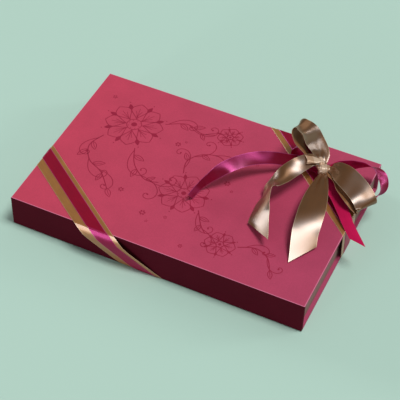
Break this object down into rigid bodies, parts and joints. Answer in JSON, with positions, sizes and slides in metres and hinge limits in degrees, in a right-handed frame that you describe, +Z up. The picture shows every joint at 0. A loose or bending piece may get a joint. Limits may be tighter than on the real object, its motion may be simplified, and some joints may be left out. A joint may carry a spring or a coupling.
{
  "type": "chocolate box",
  "caption": "Shallow oblong gift box of chocolates with a hinged lid and front flap, a tray with a formed insert, and a two-colour satin ribbon tied slantwise in a bow.",
  "frame": {"origin": "middle of the case's underside, on the paper of the bottom panel", "axes": "+X along the case towards the end with the bow, +Y from the flap to the spine, +Z up"},
  "size_m": [0.3241, 0.2014, 0.0839],
  "materials": {
    "base_paper": "fine-grained pink cover paper, dull sheen",
    "lid_paper": "fine-grained rose red cover paper with a line print, dull sheen",
    "flap_paper": "dark maroon cover paper, dull sheen",
    "lining_paper": "smooth dark maroon paper, matt",
    "tray_paper": "fine laid paper, warm grey-beige, matt",
    "greyboard": "solid grey board, matt",
    "disc_magnet": "nickel-plated disc magnet",
    "insert_film": "thermoformed gold-brown film, glossy",
    "dark_chocolate": "dark chocolate, soft sheen",
    "milk_chocolate": "milk chocolate, soft sheen",
    "cocoa_chocolate": "rolled in cocoa powder, dull",
    "white_chocolate": "white chocolate, soft sheen",
    "nougat_chocolate": "light milk chocolate, soft sheen",
    "pad_paper": "quilted glassine paper over wadding",
    "gold_satin": "satin ribbon, old gold, strong sheen along the weave",
    "burgundy_satin": "satin ribbon, burgundy red, magenta sheen"
  },
  "bodies": {
    "base": {"base_wrap": "base_paper", "bottom_board": "greyboard", "bottom_lining": "lining_paper", "burgundy_band_left_end": "burgundy_satin", "burgundy_band_right_end": "burgundy_satin", "burgundy_band_spine": "burgundy_satin", "burgundy_band_under_front": "burgundy_satin", "burgundy_band_under_rear": "burgundy_satin", "dome_pralines": "dark_chocolate", "fluted_pralines": "nougat_chocolate", "gold_band_left_end": "gold_satin", "gold_band_right_end": "gold_satin", "gold_band_spine": "gold_satin", "gold_band_under_front": "gold_satin", "gold_band_under_rear": "gold_satin", "oval_pralines": "white_chocolate", "praline_insert": "insert_film", "spine_board": "greyboard", "spine_lining": "lining_paper", "square_pralines": "milk_chocolate", "tray_board": "greyboard", "tray_discs": "disc_magnet", "tray_wrap": "tray_paper", "truffles": "cocoa_chocolate"},
    "lid": {"burgundy_band_lid_front": "burgundy_satin", "burgundy_band_lid_rear": "burgundy_satin", "burgundy_loop_back": "burgundy_satin", "burgundy_loop_right": "burgundy_satin", "burgundy_tail_front": "burgundy_satin", "burgundy_tail_left": "burgundy_satin", "gold_band_lid_front": "gold_satin", "gold_band_lid_rear": "gold_satin", "gold_knot": "gold_satin", "gold_loop_back": "gold_satin", "gold_loop_right": "gold_satin", "gold_tail_front": "gold_satin", "gold_tail_left": "gold_satin", "lid_board": "greyboard", "lid_lining": "lining_paper", "lid_pad": "pad_paper", "lid_wrap": "lid_paper"},
    "flap": {"burgundy_band_flap": "burgundy_satin", "flap_board": "greyboard", "flap_discs": "disc_magnet", "flap_lining": "lining_paper", "flap_wrap": "flap_paper", "gold_band_flap": "gold_satin"}
  },
  "joints": [
    {"name": "lid_hinge", "type": "hinge", "parent": "base", "child": "lid", "pos_m": [0, 0.1, 0.035], "axis": [-1, 0, 0], "range_deg": [0, 150]},
    {"name": "flap_hinge", "type": "hinge", "parent": "lid", "child": "flap", "pos_m": [0, -0.1, 0.035], "axis": [-1, 0, 0], "range_deg": [0, 120]}
  ]
}
